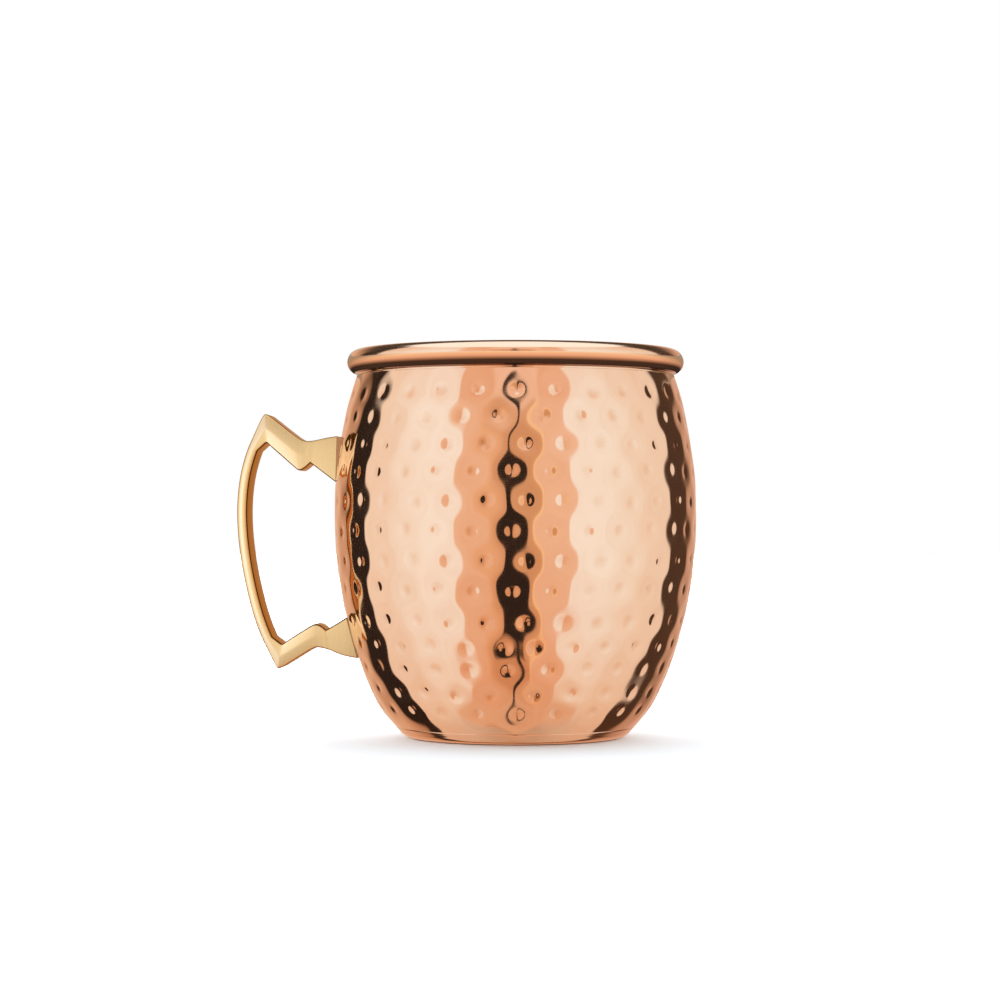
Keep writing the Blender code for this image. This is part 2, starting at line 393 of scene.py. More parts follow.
def new_metal(name):
    """A metal material: its nodes, its shader and the object's own coordinates."""
    look = bpy.data.materials.new(name)
    look.use_nodes = True
    nodes = Nodes(look.node_tree)
    shader = look.node_tree.nodes["Principled BSDF"]
    shader.inputs["Metallic"].default_value = 1.0
    place = nodes.add("ShaderNodeTexCoord").outputs["Object"]
    return look, nodes, shader, place


def polished_copper():
    """Mirror-polished copper, a little redder in cloudy patches, and painted redder and darker in the
    dimples' bowls as shade.
    """
    look, n, shader, place = new_metal("polished_copper")
    clouds = n.noise(place, 38.0, 4.0, 0.55)
    patches = n.map_range(clouds, 0.35, 0.7, 0.0, 1.0)
    colour = n.mix(patches, (0.955, 0.705, 0.535), (0.935, 0.665, 0.49))
    struck = n.add("ShaderNodeAttribute", attribute_name="struck").outputs["Fac"]
    # Painted shade: the colour goes redder and darker with the depth in each dimple's bowl.
    bowl_shade = n.math('MULTIPLY', struck, n.map_range(n.noise(place, 110.0, 2.0, 0.5), 0.35, 0.65, 0.35, 0.9))
    n.link(n.mix(bowl_shade, colour, (0.87, 0.57, 0.39)), shader.inputs["Base Color"])
    smears = n.noise(n.scaled(place, (1.0, 1.0, 3.0)), 90.0, 4.0, 0.6)
    n.link(n.spread(smears, 0.045, 0.10), shader.inputs["Roughness"])
    lines = n.noise(n.scaled(place, (60.0, 60.0, 900.0)), 3.0, 3.0, 0.7)
    n.link(n.bump(lines, 0.025, 0.0001), shader.inputs["Normal"])
    return look


def rim_copper():
    """The rolled rim: buffed, softer than the wall, and painted dark brown just under its roll as shade."""
    look, n, shader, place = new_metal("rim_copper")
    clouds = n.noise(place, 45.0, 3.0, 0.5)
    colour = n.mix(clouds, (0.965, 0.715, 0.54), (0.94, 0.67, 0.49))
    # Painted shade: the colour turns dark brown in a thin band just under the rim's roll, by height.
    crease_shade = n.map_range(n.dot(place, UP), 93.8 * MM, 94.2 * MM, 1.0, 0.0)
    n.link(n.mix(crease_shade, colour, (0.22, 0.10, 0.06)), shader.inputs["Base Color"])
    smears = n.noise(place, 120.0, 4.0, 0.6)
    n.link(n.spread(smears, 0.10, 0.18), shader.inputs["Roughness"])
    return look


def inner_copper():
    """The cup's inside: satin copper with round polishing lines and faint drink marks."""
    look, n, shader, place = new_metal("inner_copper")
    clouds = n.noise(place, 30.0, 5.0, 0.6)
    n.link(n.mix(clouds, (0.92, 0.63, 0.46), (0.86, 0.52, 0.36)), shader.inputs["Base Color"])
    smears = n.noise(n.scaled(place, (1.0, 1.0, 6.0)), 60.0, 4.0, 0.6)
    n.link(n.spread(smears, 0.20, 0.34), shader.inputs["Roughness"])
    lines = n.noise(n.scaled(place, (30.0, 30.0, 1500.0)), 2.0, 4.0, 0.75)
    n.link(n.bump(lines, 0.12, 0.0002), shader.inputs["Normal"])
    return look


def base_copper():
    """The base: the same copper, spun smooth, with turning lines round it."""
    look, n, shader, place = new_metal("base_copper")
    clouds = n.noise(place, 40.0, 4.0, 0.55)
    n.link(n.mix(clouds, (0.95, 0.69, 0.52), (0.91, 0.62, 0.45)), shader.inputs["Base Color"])
    smears = n.noise(place, 100.0, 3.0, 0.5)
    n.link(n.spread(smears, 0.09, 0.17), shader.inputs["Roughness"])
    from_axis = n.length(n.scaled(place, FLAT))
    rings = n.math('SINE', n.math('MULTIPLY', from_axis, 9000.0))
    n.link(n.bump(rings, 0.03, 0.0001), shader.inputs["Normal"])
    return look


def brushed_brass():
    """Cast brass, satin brushed up and down: the brushing spreads highlights sideways."""
    look, n, shader, place = new_metal("brushed_brass")
    clouds = n.noise(place, 60.0, 4.0, 0.55)
    n.link(n.mix(clouds, (0.95, 0.67, 0.345), (0.92, 0.63, 0.29)), shader.inputs["Base Color"])
    grain = n.noise(n.scaled(place, (2600.0, 2600.0, 90.0)), 1.0, 4.0, 0.65)
    n.link(n.map_range(grain, 0.25, 0.75, 0.24, 0.34), shader.inputs["Roughness"])
    n.link(n.bump(grain, 0.09, 0.0002), shader.inputs["Normal"])
    shader.inputs["Anisotropic"].default_value = 0.5
    upright = n.add("ShaderNodeCombineXYZ")
    upright.inputs["Z"].default_value = 1.0
    n.link(upright.outputs[0], shader.inputs["Tangent"])
    return look


def polished_brass():
    """The handle's inner and outer edges, which the buffing wheel reaches: smoother than the brushed faces,
    and darker in colour as painted shade that outlines the edges.
    """
    look, n, shader, place = new_metal("polished_brass")
    clouds = n.noise(place, 60.0, 4.0, 0.55)
    # Painted shade: darker than the brushed brass, so that the edges show a dark outline; the lower
    # roughness is the real polish.
    n.link(n.mix(clouds, (0.86, 0.56, 0.23), (0.76, 0.46, 0.17)), shader.inputs["Base Color"])
    smears = n.noise(place, 300.0, 4.0, 0.6)
    n.link(n.spread(smears, 0.10, 0.20), shader.inputs["Roughness"])
    shader.inputs["Specular Tint"].default_value = (0.62, 0.46, 0.24, 1.0)
    return look


def painted_shade_brass():
    """Brass painted dark brown along the crest of the handle's rounded edges: a painted dark reflection, not
    a colour of the metal.
    """
    look, n, shader, place = new_metal("painted_shade_brass")
    clouds = n.noise(place, 90.0, 4.0, 0.55)
    n.link(n.mix(clouds, (0.24, 0.14, 0.055), (0.15, 0.085, 0.035)), shader.inputs["Base Color"])
    shader.inputs["Roughness"].default_value = 0.22
    shader.inputs["Specular Tint"].default_value = (0.35, 0.24, 0.12, 1.0)
    return look


def solder_alloy():
    """Brazing alloy: browner than the brass, with the ripples of a melted fillet."""
    look, n, shader, place = new_metal("solder_alloy")
    clouds = n.noise(place, 220.0, 4.0, 0.6)
    n.link(n.mix(clouds, (0.72, 0.36, 0.17), (0.34, 0.16, 0.08)), shader.inputs["Base Color"])
    ripples = n.noise(place, 900.0, 3.0, 0.5)
    n.link(n.spread(ripples, 0.22, 0.42), shader.inputs["Roughness"])
    n.link(n.bump(ripples, 0.35, 0.0003), shader.inputs["Normal"])
    return look


# ---------------------------------------------------------------- hammered wall

def make_dimples():
    """Every blow: its turn, its place along the wall, and its own depth, size and lean."""
    chance = random.Random(11)
    blows = []
    for z, front in HAMMER_ROWS:
        radius = float(wall_r(z))
        count = int(round(2 * math.pi * radius / DIMPLE_PITCH))
        pitch = (360.0 - (front[-1] - front[0])) / (count - len(front) + 1)
        turns = list(front) + [front[-1] + pitch * k for k in range(1, count - len(front) + 1)]
        for turn in turns:
            is_front = min(turn % 360.0, -turn % 360.0) < FRONT_TURN
            stray = FRONT_STRAY if is_front else STRAY
            blows.append({
                "turn": math.radians(turn) + chance.uniform(-stray, stray) / radius,
                "z": z + chance.uniform(-stray, stray),
                "depth": DIMPLE_DEPTH * chance.uniform(0.85, 1.12),
                "bowl": BOWL_DEPTH * chance.uniform(0.75, 1.15),
                "radius": BOWL_RADIUS * chance.uniform(0.88, 1.1),
                "lean_u": chance.uniform(-0.012, 0.012),
                "lean_v": chance.uniform(-0.02, 0.02),
            })
    return blows


def run_along(z):
    """Distance along the barrel's outline from the seam to height z."""
    fine = np.linspace(SEAM_Z, WALL_TOP_Z, 2000)
    return np.interp(z, fine, outline_run(fine))


def hammering(heights, turns, blows, softness=0.0):
    """Depth of the hammering at each height and turn, and how deep in a bowl it is, from 0 to 1.

    Softness is for the cup's inside.
    """
    run = run_along(heights)[:, None]
    radius = wall_r(heights)[:, None]
    sharpness = LAND_SHARPNESS / (1.0 + softness)
    total = np.ones((len(heights), len(turns)))
    bowls = np.zeros((len(heights), len(turns)))
    for blow in blows:
        v = run - float(run_along(blow["z"]))
        rows = np.abs(v[:, 0]) < BLOW_REACH
        u = (turns[None, :] - blow["turn"] + math.pi) % (2 * math.pi) - math.pi
        columns = np.abs(u[0]) < BLOW_REACH / NARROWEST_R
        u = u[:, columns] * radius[rows]
        v = v[rows]
        near = np.ix_(rows, columns)
        gap2 = u ** 2 + v ** 2
        dish = blow["depth"] + blow["lean_u"] * u + blow["lean_v"] * v - DISH_CURVE * gap2 / 2
        total[near] += np.exp(sharpness * np.clip(dish, -2.0, 1.0))
        size = blow["radius"] * (1.0 + 0.6 * softness)
        reach = np.clip(1.0 - gap2 / size ** 2, 0.0, None)
        bowl = blow["bowl"] * reach ** (BOWL_POWER + softness)
        bowls[near] = np.maximum(bowls[near], bowl)
    fade_in = np.clip((heights - FADE_LOW_Z) / FADE, 0.0, 1.0)
    fade_out = np.clip((WALL_TOP_Z - heights) / FADE, 0.0, 1.0)
    land = LAND_SINK * (fade_in * fade_out)[:, None]
    return np.log(total) / sharpness + bowls - land, np.clip(bowls / BOWL_DEPTH, 0, 1)


def wall_rows(heights, depth, sink):
    """Radii and heights of the barrel's mesh rows, at a depth inside its outer face."""
    lean = slope(wall_r, heights)[:, None]
    length = np.hypot(1.0, lean)
    deep = depth + sink
    return wall_r(heights)[:, None] - deep / length, heights[:, None] + deep * lean / length


def rim_rows():
    """The same of the rolled rim, which is narrower inside than outside."""
    angles = np.radians(np.linspace(ROLL_START, ROLL_END, ROLL_STEPS))[:, None] + np.zeros(WALL_COLUMNS)
    across = np.where(np.cos(angles) > 0, RIM_RADIUS, RIM_INNER_WIDTH)
    return RIM_CENTRE_R + across * np.cos(angles), RIM_CENTRE_Z + RIM_RADIUS * np.sin(angles)


def make_wall(outside, rim, inside):
    """The barrel and its rolled rim as one skin, with real hammer marks inside and out."""
    turns = np.linspace(-math.pi, math.pi, WALL_COLUMNS, endpoint=False)
    blows = make_dimples()

    outer_z = np.concatenate([[SEAM_Z], even_heights(SEAM_Z + FIRST_ROW, WALL_TOP_Z, OUTER_SPACING)])
    outer_sink, outer_struck = hammering(outer_z, turns, blows)
    inner_z = even_heights(SEAM_Z, WALL_TOP_Z - INNER_DROP, INNER_SPACING)[::-1]
    inner_sink = INSIDE_SHARE * hammering(inner_z, turns, blows, softness=1.0)[0]

    parts = [wall_rows(outer_z, 0.0, outer_sink), rim_rows(), wall_rows(inner_z, SHEET, inner_sink)]
    radii = np.concatenate([part[0] for part in parts])
    heights = np.concatenate([part[1] for part in parts])
    slots = np.repeat(range(3), [len(part[0]) for part in parts])
    facing = turns + math.radians(CAMERA_TURN)
    x = radii * np.sin(facing)[None, :]
    y = -radii * np.cos(facing)[None, :]
    points = np.stack([x, y, heights], axis=-1)
    struck = np.zeros(radii.shape)
    struck[:len(outer_z)] = outer_struck
    return grid_mesh("hammered_wall", points, [outside, rim, inside], slots, struck)


# ---------------------------------------------------------------- base

def make_base(look):
    """The base pan: flat foot, turned-up edge, and a lap inside the barrel."""
    lap = SHEET + LAP_GAP
    seam_r, seam_z = wall_point(SEAM_Z)
    lean = math.atan(float(slope(wall_r, SEAM_Z)))
    down = (-SEAM_GAP * math.sin(lean), -SEAM_GAP * math.cos(lean))
    edge = (seam_r + down[0], seam_z + down[1])

    # The flat foot turns up round a small radius, then runs straight to the seam in the wall's slope.
    turn_r = edge[0] - edge[1] * math.tan(lean)
    outline = [(0.0, 0.0), (14.5, 0.0), (24.0, 0.0)]
    for t in np.linspace(0.0, 1.0, 11).tolist():
        outline.append((turn_r - FOOT_CUT * (1 - t) ** 2 + FOOT_CUT * math.sin(lean) * t ** 2,
                        FOOT_CUT * math.cos(lean) * t ** 2))
    below_edge = (edge[0] - 0.03, edge[1] - 0.05)
    for t in (0.4, 0.7, 0.9):
        r, z = outline[-1]
        outline.append((r * (1 - t) + below_edge[0] * t, z * (1 - t) + below_edge[1] * t))
    outline.append((edge[0] - 0.04, edge[1] + 0.03))

    # The lap goes up inside the barrel and comes down a sheet's thickness further in.
    shoulder = wall_point(SEAM_Z, lap)
    outline.append((shoulder[0] + down[0], shoulder[1] + down[1]))
    outline += [wall_point(z, lap) for z in np.linspace(3.6, 6.6, 7)]
    outline += [wall_point(z, lap + SHEET) for z in np.linspace(6.6, SEAM_Z, 8)]
    outline += [(28.6, 2.6), (27.6, 1.6), (26.4, 1.05), (25.0, SHEET), (0.0, SHEET)]
    return revolve("base_pan_spun", outline, 256, [look])


def make_base_fillet(look):
    """The solder in the corner between the barrel and the lap's upper edge."""
    outline = [wall_point(z, SHEET + depth) for z, depth in FILLET]
    return revolve("base_solder_fillet", outline, 256, [look])


# ---------------------------------------------------------------- handle

# Stations: outer edge and inner edge as (x, z), share of the crown, and how much of the way to the
# next station the corner of each edge is rounded off.
UPPER_ARM = [
    ((-45.93, 77.62), (-46.27, 65.75), 0.0, 0.0, 0.0),
    ((-48.7, 77.2), (-49.4, 68.15), 0.0, 0.2, 0.0),
    ((-52.2, 76.4), (-52.75, 70.65), 0.0, 0.4, 0.0),
    ((-54.6, 76.35), (-54.6, 69.05), 0.55, 0.45, 0.3),
    ((-56.4, 77.45), (-55.7, 68.6), 1.0, 0.45, 0.45),
    ((-57.6, 78.35), (-56.9, 69.5), 1.0, 0.2, 0.45),
    ((-63.5, 83.0), (-62.9, 74.75), 1.0, 0.1, 0.0),
    ((-65.0, 83.55), (-64.15, 76.0), 1.0, 0.35, 0.2),
]
LOWER_ARM = [
    ((-61.35, 17.5), (-60.1, 23.85), 1.0, 0.2, 0.2),
    ((-60.0, 17.95), (-58.5, 25.0), 1.0, 0.1, 0.0),
    ((-52.9, 22.4), (-52.6, 28.7), 1.0, 0.4, 0.4),
    ((-51.2, 23.1), (-51.5, 29.15), 0.8, 0.45, 0.45),
    ((-49.6, 22.95), (-50.2, 28.85), 0.3, 0.45, 0.4),
    ((-48.0, 22.5), (-48.75, 27.6), 0.0, 0.2, 0.0),
    ((-44.35, 21.0), (-46.0, 29.15), 0.0, 0.3, 0.0),
    ((-40.62, 20.3), (-43.5, 30.75), 0.0, 0.0, 0.0),
]


def bar_stations():
    """The bar's stations, each square to its outer edge."""
    stations = []
    for z in np.linspace(BAR_TOP_Z, BAR_LOW_Z, BAR_STEPS + 1):
        lean = float(slope(bar_x, z))
        length = math.hypot(1.0, lean)
        outer = (float(bar_x(z)), float(z))
        inner = (outer[0] + BAR / length, outer[1] - BAR * lean / length)
        if BAR_INNER_LOW_Z < inner[1] < BAR_INNER_TOP_Z:
            stations.append((outer, inner, 1.0, 0.0, 0.0))
    return stations


def corner_curve(start, at, end, t):
    """The point at t, from 0 to 1, on the curve that rounds off the corner at."""
    return (1 - t) ** 2 * start + 2 * t * (1 - t) * at + t ** 2 * end


def rounded(stations, steps=5):
    """Replace each rounded station by a short curve, on the outer and the inner edge at once."""
    out = [stations[0][:3]]
    for before, here, after in zip(stations, stations[1:], stations[2:]):
        if here[3] == 0.0 and here[4] == 0.0:
            out.append(here[:3])
            continue
        for i in range(steps + 1):
            t = i / steps
            edges = []
            for side in (0, 1):
                share = max(here[3 + side], LEAST_SHARE)
                at = Vector(here[side])
                start = at.lerp(Vector(before[side]), share)
                end = at.lerp(Vector(after[side]), share)
                edges.append(tuple(corner_curve(start, at, end, t)))
            crown = corner_curve((here[2] + before[2]) / 2, here[2], (here[2] + after[2]) / 2, t)
            out.append((edges[0], edges[1], crown))
    out.append(stations[-1][:3])
    return out


def rounded_section(length, crown):
    """One section of the handle all the way round: (distance from the outer edge, y, finish).

    The finish is that of the face that follows the point: brushed, polished, or brass painted dark along the
    edges as a dark reflection.
    """
    ridge = (length / 2, EDGE_Y + CROWN * crown)
    corners = [  # corner, how far back it is cut, and the finish of each step of its curve
        ((0.0, -EDGE_Y), OUTER_ROUND, OUTER_STEPS), ((ridge[0], -ridge[1]), RIDGE_ROUND, RIDGE_STEPS),
        ((length, -EDGE_Y), INNER_ROUND, INNER_STEPS), ((length, EDGE_Y), INNER_ROUND, INNER_STEPS[::-1]),
        ((ridge[0], ridge[1]), RIDGE_ROUND, RIDGE_STEPS), ((0.0, EDGE_Y), OUTER_ROUND, OUTER_STEPS[::-1]),
    ]
    flats = [BRUSHED, BRUSHED, POLISHED, BRUSHED, BRUSHED, POLISHED]
    points = []
    for i, (corner, cut, finishes) in enumerate(corners):
        at = Vector(corner)
        before = Vector(corners[i - 1][0])
        after = Vector(corners[(i + 1) % 6][0])
        start = at + (before - at).normalized() * cut
        end = at + (after - at).normalized() * cut
        for k, finish in enumerate(finishes + [flats[i]]):
            points.append((*corner_curve(start, at, end, k / len(finishes)), finish))
    return points


def make_handle(looks):
    """The cast handle: rounded sections swept from the upper foot round the bar to the lower foot."""
    bm = bmesh.new()
    sections = []
    for outer, inner, crown in rounded(UPPER_ARM + bar_stations() + LOWER_ARM):
        a, b = Vector(outer), Vector(inner)
        along = (b - a).normalized()
        profile = rounded_section((b - a).length, crown)
        finishes = [finish for distance, y, finish in profile]
        spots = [(a + along * distance, y) for distance, y, finish in profile]
        sections.append([bm.verts.new((at.x, y, at.y)) for at, y in spots])
    around = len(finishes)
    for here, there in zip(sections, sections[1:]):
        for j in range(around):
            k = (j + 1) % around
            face = bm.faces.new([here[j], here[k], there[k], there[j]])
            face.material_index = finishes[j]
    bm.faces.new(sections[0])
    bm.faces.new(sections[-1][::-1])
    return from_bmesh("cast_handle", bm, looks, 40)


# ---------------------------------------------------------------- solder and rivets

def make_foot_solder(name, look, foot_face):
    """The wedge between a foot's flat end and the round wall."""
    bm = bmesh.new()
    steps = 10
    (top_x, top_z), (low_x, low_z) = foot_face
    half = EDGE_Y - SOLDER_RECESS
    rows = []
    for i in range(steps + 1):
        t = i / steps
        foot_x = top_x + (low_x - top_x) * t
        z = top_z + (low_z - top_z) * t
        row = []
        for y in np.linspace(-half, half, 9):
            wall_x = -math.sqrt(float(wall_r(z)) ** 2 - y ** 2) + SOLDER_IN_WALL
            row.append((bm.verts.new((foot_x - SOLDER_IN_FOOT, y, z)), bm.verts.new((wall_x, y, z))))
        rows.append(row)
    for here, there in zip(rows, rows[1:]):
        for a, b, c, d in zip(here, here[1:], there[1:], there):
            bm.faces.new([a[0], b[0], c[0], d[0]])
            bm.faces.new([a[1], b[1], c[1], d[1]])
        for side in (0, -1):
            bm.faces.new([here[side][0], here[side][1], there[side][1], there[side][0]])
    for end in (rows[0], rows[-1]):
        for a, b in zip(end, end[1:]):
            bm.faces.new([a[0], b[0], b[1], a[1]])
    return from_bmesh(name, bm, [look], 40)


def rivet_place(z):
    """The matrix that puts a rivet on the handle's side at height z, with its shank square to the wall."""
    tip = -math.atan(float(slope(wall_r, z)))
    outward = Vector((-math.cos(tip), 0.0, math.sin(tip)))
    turn = outward.to_track_quat('Z', 'Y').to_matrix().to_4x4()
    return Matrix.Translation((-float(wall_r(z)), 0.0, z)) @ turn


def make_rivet(name, z, look):
    """A domed head inside the cup, on a shank that runs through the wall into the foot."""
    base = -(SHEET + HEAD_CLEARANCE)
    outline = [(0.0, SHANK_LENGTH), (SHANK_R - SHANK_CHAMFER, SHANK_LENGTH),
               (SHANK_R, SHANK_LENGTH - SHANK_CHAMFER), (SHANK_R, base), (HEAD_R - HEAD_CHAMFER, base),
               (HEAD_R, base - HEAD_CHAMFER), (HEAD_R, base - HEAD_EDGE)]
    steps = 8
    for i in range(1, steps + 1):
        angle = math.pi / 2 * i / steps
        radius = HEAD_R * math.cos(angle) if i < steps else 0.0
        outline.append((radius, base - HEAD_EDGE - HEAD_DOME * math.sin(angle)))
    return revolve(name, outline, 48, [look], rivet_place(z), 50)


# ---------------------------------------------------------------- studio

def camera_axes():
    """The level direction from the mug to the camera, and the one to the camera's right."""
    turn = math.radians(CAMERA_TURN)
    towards = Vector((math.sin(turn), -math.cos(turn), 0.0))
    right = Vector((math.cos(turn), math.sin(turn), 0.0))
    return towards, right


def make_camera():
    """A long lens, level with the middle of the mug."""
    towards, right = camera_axes()
    camera = add_object("camera", bpy.data.cameras.new("camera"))
    camera.data.lens = FOCAL_LENGTH
    camera.data.sensor_width = SENSOR_WIDTH
    camera.location = (towards * CAMERA_DISTANCE + Vector((0, 0, CAMERA_HEIGHT))) * MM
    look = -towards - right * math.tan(math.radians(YAW)) + Vector((0, 0, math.tan(math.radians(PITCH))))
    camera.rotation_mode = 'QUATERNION'
    camera.rotation_quaternion = look.to_track_quat('-Z', 'Y')
    camera.data.clip_start = 0.01
    camera.data.clip_end = 20.0
    bpy.context.scene.camera = camera


WHITE = (1.0, 1.0, 1.0)
CREAM = (0.99, 1.01, 1.02)
GOLD = (0.90, 0.61, 0.45)
GLOW = (1.02, 0.72, 0.44)
AMBER = (0.70, 0.39, 0.22)
BLACK = (0.030, 0.020, 0.016)
UMBER = (0.075, 0.042, 0.028)

# What stands round the mug, by its turn from the camera in degrees, left negative.
SURROUNDINGS = [
    (-180, (0.86, 0.56, 0.40)), (-150, (0.76, 0.47, 0.31)), (-137, (0.50, 0.29, 0.18)),
    (-131, BLACK), (-111, BLACK), (-108.5, (0.95, 0.83, 0.73)), (-92, (0.94, 0.86, 0.79)),
    (-62, (1.0, 1.04, 1.06)), (-40.5, CREAM), (-38.5, GOLD), (-21.5, (0.88, 0.58, 0.42)),
    (-20, (0.88, 0.54, 0.34)), (-8, (0.71, 0.395, 0.23)), (8, AMBER), (13.2, (0.74, 0.43, 0.25)),
    (14.4, GLOW), (16.0, GLOW), (17.4, GOLD), (34, (0.91, 0.64, 0.49)), (36, CREAM),
    (60, (0.98, 1.02, 1.03)), (92, (0.93, 0.85, 0.77)), (114.5, (0.90, 0.79, 0.70)),
    (117.5, UMBER), (139, (0.09, 0.05, 0.03)), (145, (0.52, 0.31, 0.21)),
    (166, (0.76, 0.46, 0.34)), (180, (0.86, 0.56, 0.40)),
]

# What the light's height does to its colour, by tilt in degrees: -90 is the floor, 90 the ceiling.
WARMTH = [
    (-80, (0.62, 0.41, 0.29)), (-64, (0.80, 0.57, 0.44)), (-48, (0.93, 0.76, 0.65)),
    (-28, (0.97, 0.90, 0.86)), (-8, (1.0, 0.99, 0.98)), (22, WHITE), (38, (0.97, 0.88, 0.83)),
    (48, (0.95, 0.80, 0.72)),
]

# Half the width of the dark gap straight ahead, by tilt, as a share of GAP_WIDTH degrees.
GAP_WIDTH = 10.0
GAP_EDGES = [(-33, 0.90), (-15, 0.62), (0, 0.46), (12, 0.36), (17, 0.10)]

# The dark seam that goes on above and below the gap: half its width, then the tilts in degrees
# between which it comes in and between which it goes out.
SEAMS = [(1.0, (10.0, 13.0), (36.0, 39.0)), (1.7, (-80.0, -79.0), (-36.0, -30.0))]

# How bright the light on the floor is, by the tilt that it comes from, as a share of FLOOR_LEVEL.
FLOOR_LEVEL = 5.25
FLOOR_LIGHT = [(0, 0.84), (20, 0.76), (35, 0.40), (55, 0.17), (90, 0.12)]


def by_tilt(stops):
    """Ramp stops for an upright factor, 0 below and 1 above, from stops by tilt in degrees."""
    return [(0.5 + degrees / 180, value) for degrees, value in stops]


def walls_of_room(n, way, turn, tilt, upright):
    """The colour of the soft boxes and the warm walls, uneven as real ones are."""
    # Towards the floor the soft boxes stand closer together, so each colour spreads further round.
    narrowing = n.map_range(tilt, -44.0, -74.0, 1.0, 0.52)
    around = n.math('MULTIPLY_ADD', n.math('MULTIPLY', turn, narrowing), 1 / 360, 0.5)
    room = n.ramp(around, [(0.5 + degrees / 360, colour) for degrees, colour in SURROUNDINGS])
    room = n.mix(1.0, room, n.ramp(upright, by_tilt(WARMTH)), 'MULTIPLY')

    # Between them it is paler high up, and redder all over near the floor.
    aside = n.math('ABSOLUTE', turn)
    pale_top = n.both(n.map_range(aside, 16.0, 24.0, 1.0, 0.0, smooth=True),
                      n.map_range(tilt, 20.0, 36.0, 0.0, 1.0, smooth=True))
    room = n.mix(pale_top, room, (0.93, 0.66, 0.52))
    red_floor = n.both(n.map_range(aside, 60.0, 85.0, 1.0, 0.0, smooth=True),
                       n.map_range(tilt, -42.0, -60.0, 0.0, 0.9, smooth=True))
    room = n.mix(red_floor, room, (0.80, 0.48, 0.31))

    clouds = n.noise(way, 7.0, 3.0, 0.6)
    mottle = n.ramp(clouds, [(0.32, (0.975, 0.945, 0.925)), (0.52, WHITE), (0.75, (1.01, 1.015, 1.02))])
    return n.mix(1.0, room, mottle, 'MULTIPLY')


def dark_middle(n, room, turn, tilt, upright):
    """The room with a dark gap between the soft boxes straight ahead, and the thin seam beyond it."""
    off_left = n.map_range(tilt, -25.0, 5.0, 0.4, 1.5)
    gap_off = n.math('ABSOLUTE', n.math('ADD', turn, off_left))
    gap_edge = n.math('MULTIPLY', n.grey_ramp(upright, by_tilt(GAP_EDGES)), GAP_WIDTH)
    gap = n.map_range(n.math('SUBTRACT', gap_off, gap_edge), -0.5, 0.5, 1.0, 0.0, smooth=True)
    gap_span = n.both(n.map_range(tilt, -38.0, -34.0, 0.0, 1.0), n.map_range(tilt, 15.0, 17.5, 1.0, 0.0))
    room = n.mix(n.both(gap, gap_span), room, BLACK)

    seam_off = n.math('ABSOLUTE', n.math('ADD', turn, 0.4))
    for half_width, comes_in, goes_out in SEAMS:
        seam = n.map_range(seam_off, half_width, half_width + 1.0, 1.0, 0.0, smooth=True)
        span = n.both(n.map_range(tilt, *comes_in, 0.0, 1.0), n.map_range(tilt, *goes_out, 1.0, 0.0))
        room = n.mix(n.both(seam, span), room, BLACK)
    return room


def high_room(n, room, ahead, tilt):
    """The room with light from straight above, and darkness high up behind the mug."""
    overhead = n.map_range(tilt, 46.0, 53.0, 0.0, 1.0, smooth=True)
    room = n.mix(overhead, room, (1.12, 1.20, 1.24))
    behind = n.map_range(ahead, -0.38, -0.54, 0.0, 1.0, smooth=True)
    high = n.map_range(tilt, 12.0, 34.0, 0.0, 1.0, smooth=True)
    return n.mix(n.both(behind, high), room, (0.07, 0.05, 0.035))


def floor_light(n, ahead, across, upright):
    """What lights the floor: mostly from low down and from behind, and a little more from the left."""
    low_light = n.math('MULTIPLY', n.grey_ramp(upright, by_tilt(FLOOR_LIGHT)), FLOOR_LEVEL)
    lean = n.math('MULTIPLY_ADD', across, -0.18, n.math('MULTIPLY_ADD', ahead, -1.0, 1.0))
    level = n.math('MULTIPLY', low_light, n.math('MAXIMUM', lean, 0.0))
    return n.mix(1.0, (0.94, 1.0, 1.045), level, 'MULTIPLY')


def make_world():
    """A white room for the camera, a studio with soft boxes for reflections, and the floor's light."""
    world = bpy.data.worlds.new("studio")
    bpy.context.scene.world = world
    world.use_nodes = True
    n = Nodes(world.node_tree)
    world.node_tree.nodes.clear()
    towards, right = camera_axes()
    way = n.add("ShaderNodeTexCoord").outputs["Generated"]
    ahead = n.dot(way, towards)
    across = n.dot(way, right)
    turn = n.math('MULTIPLY', n.math('ARCTAN2', across, ahead), 180 / math.pi)
    tilt = n.math('MULTIPLY', n.math('ARCSINE', n.dot(way, UP)), 180 / math.pi)
    upright = n.math('MULTIPLY_ADD', tilt, 1 / 180, 0.5)

    room = walls_of_room(n, way, turn, tilt, upright)
    room = dark_middle(n, room, turn, tilt, upright)
    room = high_room(n, room, ahead, tilt)

    path = n.add("ShaderNodeLightPath")
    shown = n.mix(path.outputs["Is Diffuse Ray"], room, floor_light(n, ahead, across, upright))
    shown = n.mix(path.outputs["Is Camera Ray"], shown, WHITE)
    back = n.add("ShaderNodeBackground")
    n.link(shown, back.inputs["Color"])
    out = n.add("ShaderNodeOutputWorld")
    n.link(back.outputs["Background"], out.inputs["Surface"])
    world.cycles.sampling_method = 'NONE'


def make_floor():
    """A pale floor, which the camera sees and the copper doesn't."""
    bm = bmesh.new()
    bmesh.ops.create_circle(bm, cap_ends=True, segments=96, radius=FLOOR_RADIUS)
    look = bpy.data.materials.new("pale_floor")
    look.use_nodes = True
    shader = look.node_tree.nodes["Principled BSDF"]
    shader.inputs["Base Color"].default_value = (0.8, 0.8, 0.8, 1.0)
    shader.inputs["Roughness"].default_value = 0.9
    shader.inputs["Specular IOR Level"].default_value = 0.0
    floor = from_bmesh("floor", bm, [look])
    floor.location.z = -FLOOR_DROP * MM
    floor.visible_glossy = False


